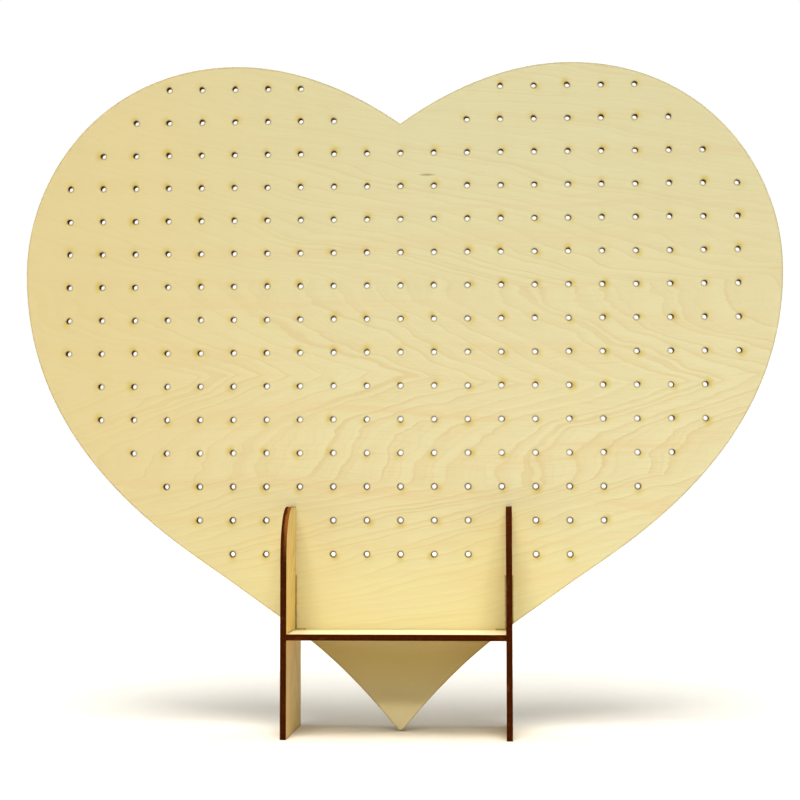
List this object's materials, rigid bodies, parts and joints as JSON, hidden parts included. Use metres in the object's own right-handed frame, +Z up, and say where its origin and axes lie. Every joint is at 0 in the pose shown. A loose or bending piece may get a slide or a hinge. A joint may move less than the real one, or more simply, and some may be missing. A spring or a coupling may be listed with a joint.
{
  "type": "heart-shaped peg board on a stand",
  "caption": "Heart-shaped plywood peg board with a grid of round holes, standing in slotted plywood legs with a ledge between them.",
  "frame": {"origin": "on the table, under the centre of the whole outline", "axes": "+X to the right seen from the front, +Y from the front of the board to its back, +Z up"},
  "size_m": [0.792, 0.13, 0.6955],
  "materials": {
    "board_ply": "natural birch plywood, unfinished, scorched edges",
    "leg_ply": "natural birch plywood, unfinished, scorched edges",
    "ledge_ply": "natural birch plywood, unfinished, scorched edges"
  },
  "bodies": {
    "stand": {"left_leg": "leg_ply", "right_leg": "leg_ply", "shelf": "ledge_ply"},
    "panel": {"heart_panel": "board_ply"}
  },
  "joints": [
    {"name": "panel_lift", "type": "slide", "parent": "stand", "child": "panel", "axis": [0, 0, 1], "range_m": [0, 0.24]}
  ]
}
